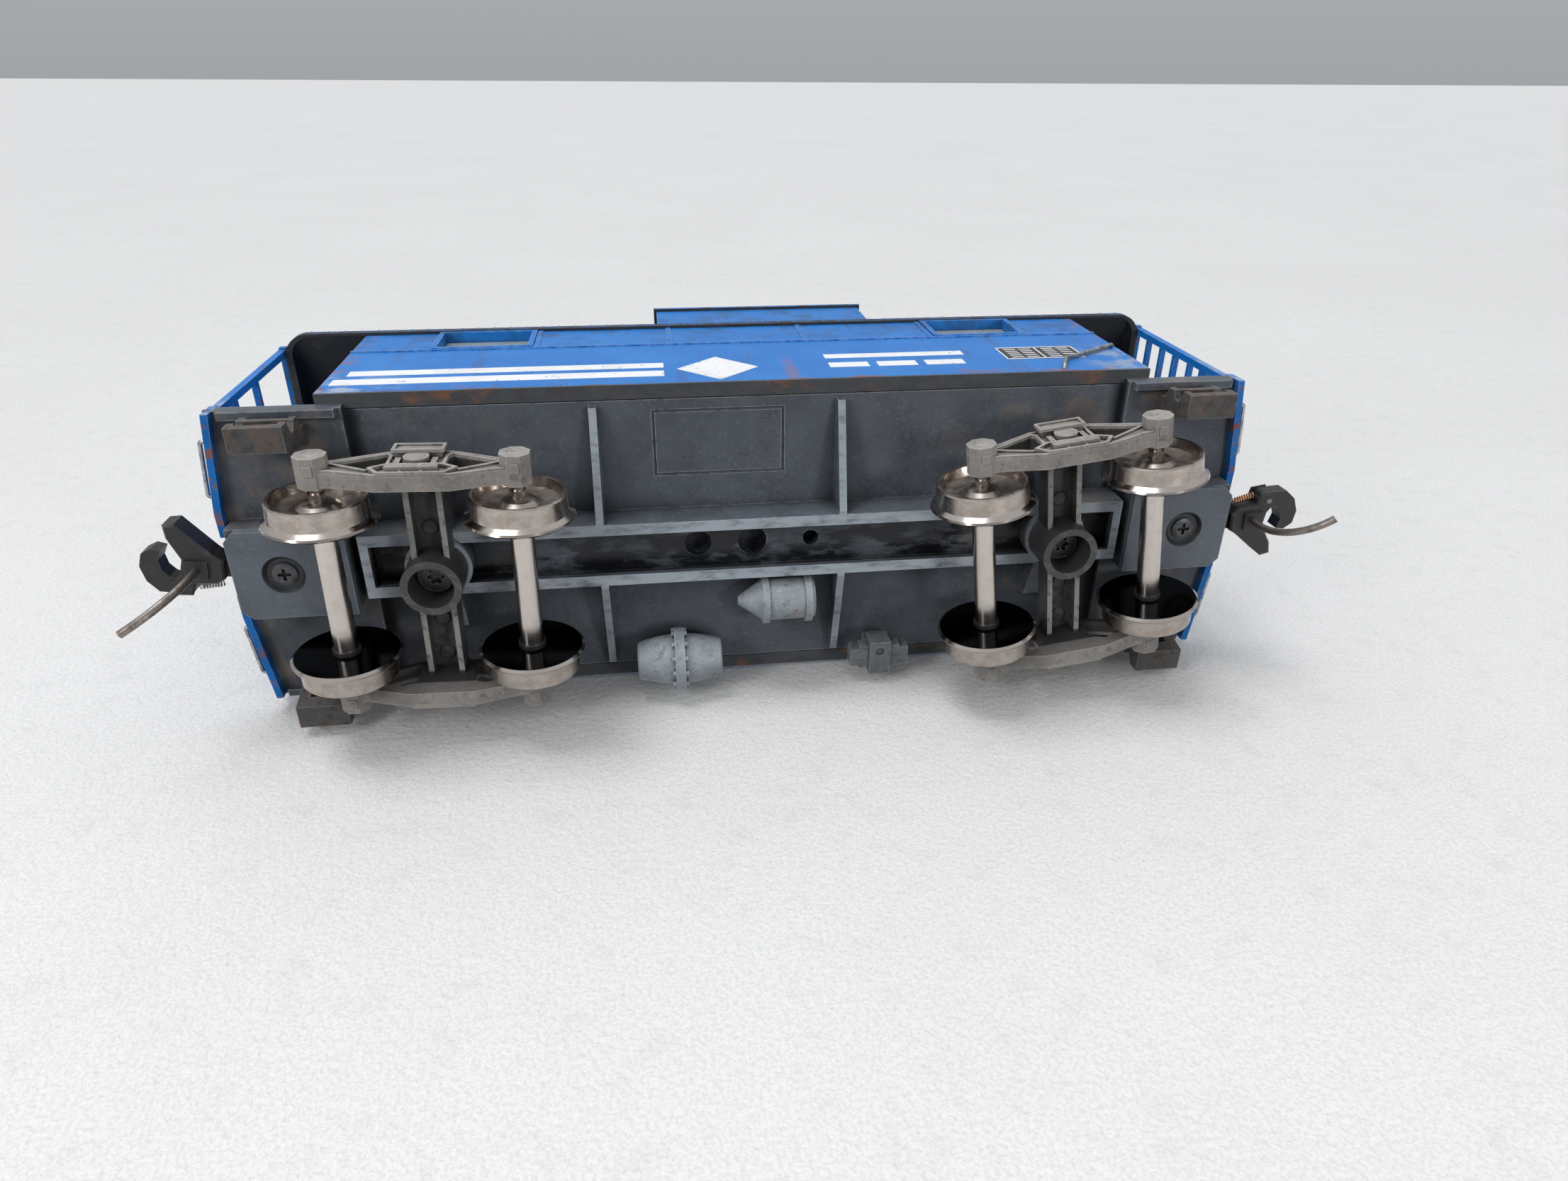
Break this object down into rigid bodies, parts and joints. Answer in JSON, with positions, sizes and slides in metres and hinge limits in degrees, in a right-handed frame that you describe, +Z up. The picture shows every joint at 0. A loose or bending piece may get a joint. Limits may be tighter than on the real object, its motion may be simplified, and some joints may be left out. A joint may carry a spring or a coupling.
{
  "type": "model railway caboose",
  "caption": "HO scale railway caboose with an arched roof, cupola, railed end platforms, swivelling trucks, rolling wheelsets and knuckle couplers.",
  "frame": {"origin": "middle of the car in plan, at the lowest point of the wheel flanges", "axes": "+X along the car, +Z up, +Y across the car"},
  "size_m": [0.1247, 0.036, 0.0531],
  "materials": {
    "body_blue": "weathered satin paint over moulded plastic",
    "roof_black": "dull painted plastic",
    "clear_glazing": "clear moulded plastic",
    "underframe_grey": "dark grey moulded plastic with dry-brushed edges",
    "weight_steel": "plain steel bar",
    "screw_steel": "blackened steel",
    "wire_steel": "bare wire",
    "brake_gear_grey": "grey moulded plastic with rust wash",
    "truck_plastic": "weathered engineering plastic",
    "black_plastic": "engineering plastic",
    "nickel_metal": "turned, nickel plated",
    "pin_steel": "bare steel wire",
    "spring_bronze": "phosphor bronze"
  },
  "bodies": {
    "car_body": {"air_reservoir": "brake_gear_grey", "body_shell": "body_blue", "brake_cylinder": "brake_gear_grey", "brake_wheel_a": "body_blue", "brake_wheel_b": "body_blue", "control_valve": "brake_gear_grey", "corner_handrails": "wire_steel", "coupler_lid_a": "underframe_grey", "coupler_lid_b": "underframe_grey", "cupola": "body_blue", "cupola_glazing": "clear_glazing", "cupola_roof": "roof_black", "end_door_a": "body_blue", "end_door_b": "body_blue", "end_glazing": "clear_glazing", "end_railing_a": "body_blue", "end_railing_b": "body_blue", "grab_irons": "wire_steel", "lid_screws": "screw_steel", "roof": "roof_black", "side_glazing": "clear_glazing", "smoke_jack": "roof_black", "steel_weight": "weight_steel", "step_a_far": "underframe_grey", "step_a_near": "underframe_grey", "step_b_far": "underframe_grey", "step_b_near": "underframe_grey", "truck_screws": "screw_steel", "underframe": "underframe_grey"},
    "truck_a": {"truck_frame_a": "truck_plastic"},
    "wheelset_a1": {"axle_a1": "nickel_metal", "wheel_near_a1": "nickel_metal", "wheel_far_a1": "nickel_metal", "axle_bush_a1": "black_plastic"},
    "wheelset_a2": {"axle_a2": "nickel_metal", "wheel_near_a2": "nickel_metal", "wheel_far_a2": "nickel_metal", "axle_bush_a2": "black_plastic"},
    "coupler_a": {"coupler_head_a": "black_plastic", "knuckle_pin_a": "pin_steel", "knuckle_spring_a": "spring_bronze", "trip_pin_a": "pin_steel", "centring_spring_a": "spring_bronze"},
    "knuckle_arm_a": {"knuckle_a": "black_plastic"},
    "truck_b": {"truck_frame_b": "truck_plastic"},
    "wheelset_b1": {"axle_b1": "nickel_metal", "wheel_near_b1": "nickel_metal", "wheel_far_b1": "nickel_metal", "axle_bush_b1": "black_plastic"},
    "wheelset_b2": {"axle_b2": "nickel_metal", "wheel_near_b2": "nickel_metal", "wheel_far_b2": "nickel_metal", "axle_bush_b2": "black_plastic"},
    "coupler_b": {"coupler_head_b": "black_plastic", "knuckle_pin_b": "pin_steel", "knuckle_spring_b": "spring_bronze", "trip_pin_b": "pin_steel", "centring_spring_b": "spring_bronze"},
    "knuckle_arm_b": {"knuckle_b": "black_plastic"}
  },
  "joints": [
    {"name": "truck_a_swivel", "type": "hinge", "parent": "car_body", "child": "truck_a", "pos_m": [-0.0334, 0, 0.00945], "axis": [0, 0, 1], "range_deg": [-9.5, 6.5]},
    {"name": "wheelset_a1_spin", "type": "hinge", "parent": "truck_a", "child": "wheelset_a1", "pos_m": [-0.0427, -0.00024, 0.00545], "axis": [-0.0262, 0.9997, 0], "continuous": true},
    {"name": "wheelset_a2_spin", "type": "hinge", "parent": "truck_a", "child": "wheelset_a2", "pos_m": [-0.0241, 0.00024, 0.00545], "axis": [-0.0262, 0.9997, 0], "continuous": true},
    {"name": "coupler_a_swing", "type": "hinge", "parent": "car_body", "child": "coupler_a", "pos_m": [-0.04875, 0, 0.01083], "axis": [0, 0, 1], "range_deg": [-18, 2], "stiffness_Nm_per_rad": 0.0004},
    {"name": "knuckle_a_open", "type": "hinge", "parent": "coupler_a", "child": "knuckle_arm_a", "pos_m": [-0.05886, 0.0008, 0.0108], "axis": [0, 0, 1], "range_deg": [-25, 0], "stiffness_Nm_per_rad": 0.00001, "springref_deg": 11.46},
    {"name": "truck_b_swivel", "type": "hinge", "parent": "car_body", "child": "truck_b", "pos_m": [0.0334, 0, 0.00945], "axis": [0, 0, 1], "range_deg": [-0.6, 15.4]},
    {"name": "wheelset_b1_spin", "type": "hinge", "parent": "truck_b", "child": "wheelset_b1", "pos_m": [0.02418, 0.0012, 0.00545], "axis": [0.1288, 0.9917, 0], "continuous": true},
    {"name": "wheelset_b2_spin", "type": "hinge", "parent": "truck_b", "child": "wheelset_b2", "pos_m": [0.04262, -0.0012, 0.00545], "axis": [0.1288, 0.9917, 0], "continuous": true},
    {"name": "coupler_b_swing", "type": "hinge", "parent": "car_body", "child": "coupler_b", "pos_m": [0.04875, 0, 0.01083], "axis": [0, 0, 1], "range_deg": [-5, 15], "stiffness_Nm_per_rad": 0.0004},
    {"name": "knuckle_b_open", "type": "hinge", "parent": "coupler_b", "child": "knuckle_arm_b", "pos_m": [0.05842, -0.00305, 0.0108], "axis": [0, 0, 1], "range_deg": [-25, 0], "stiffness_Nm_per_rad": 0.00001, "springref_deg": 11.46}
  ]
}
